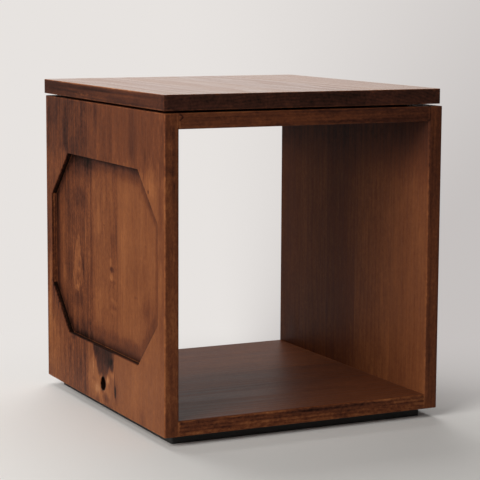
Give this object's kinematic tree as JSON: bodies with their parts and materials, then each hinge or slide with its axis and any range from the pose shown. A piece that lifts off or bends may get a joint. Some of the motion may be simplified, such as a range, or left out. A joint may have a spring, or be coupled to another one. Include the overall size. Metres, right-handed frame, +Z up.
{
  "type": "record storage stand",
  "caption": "Open wooden cube for twelve-inch records, with octagonal pockets routed in its sides, a recessed dark plinth and a loose platform on pads above it.",
  "frame": {"origin": "on the floor, under the middle of the whole footprint, the slightly shifted platform included", "axes": "+Z up, -Y towards the open front that the picture shows, +X to the right of someone facing that front"},
  "size_m": [0.4014, 0.4214, 0.442],
  "materials": {
    "side_wood": "walnut-stained softwood with upright grain, satin oil finish, darker streaks and worn light edges",
    "board_wood": "walnut-stained softwood with grain along the width, satin oil finish",
    "platform_wood": "walnut-stained softwood with grain from front to back, satin oil finish, dark end grain at the front and back",
    "plinth_paint": "matt black paint on wood",
    "pad_rubber": "matt black rubber",
    "dowel_beech": "bare fluted beech",
    "screw_steel": "bright zinc-plated steel"
  },
  "bodies": {
    "box": {"left_side_panel": "side_wood", "right_side_panel": "side_wood", "top_board": "board_wood", "bottom_board": "board_wood", "plinth_front_rail": "plinth_paint", "plinth_back_rail": "plinth_paint", "plinth_left_rail": "plinth_paint", "plinth_right_rail": "plinth_paint", "dowel_top_left_1": "dowel_beech", "dowel_top_left_2": "dowel_beech", "dowel_top_left_3": "dowel_beech", "dowel_top_left_4": "dowel_beech", "dowel_top_right_1": "dowel_beech", "dowel_top_right_2": "dowel_beech", "dowel_top_right_3": "dowel_beech", "dowel_top_right_4": "dowel_beech", "dowel_bottom_left_1": "dowel_beech", "dowel_bottom_left_2": "dowel_beech", "dowel_bottom_left_3": "dowel_beech", "dowel_bottom_left_4": "dowel_beech", "dowel_bottom_right_1": "dowel_beech", "dowel_bottom_right_2": "dowel_beech", "dowel_bottom_right_3": "dowel_beech", "dowel_bottom_right_4": "dowel_beech", "plinth_screw_front_1": "screw_steel", "plinth_screw_front_2": "screw_steel", "plinth_screw_front_3": "screw_steel", "plinth_screw_back_1": "screw_steel", "plinth_screw_back_2": "screw_steel", "plinth_screw_back_3": "screw_steel", "plinth_screw_left_1": "screw_steel", "plinth_screw_left_2": "screw_steel", "plinth_screw_right_1": "screw_steel", "plinth_screw_right_2": "screw_steel"},
    "platform": {"platform": "platform_wood", "pad_front_left": "pad_rubber", "pad_front_right": "pad_rubber", "pad_back_left": "pad_rubber", "pad_back_right": "pad_rubber"}
  },
  "joints": [
    {"name": "platform_lift", "type": "slide", "parent": "box", "child": "platform", "axis": [0, 0, 1], "range_m": [0, 0.1]}
  ]
}
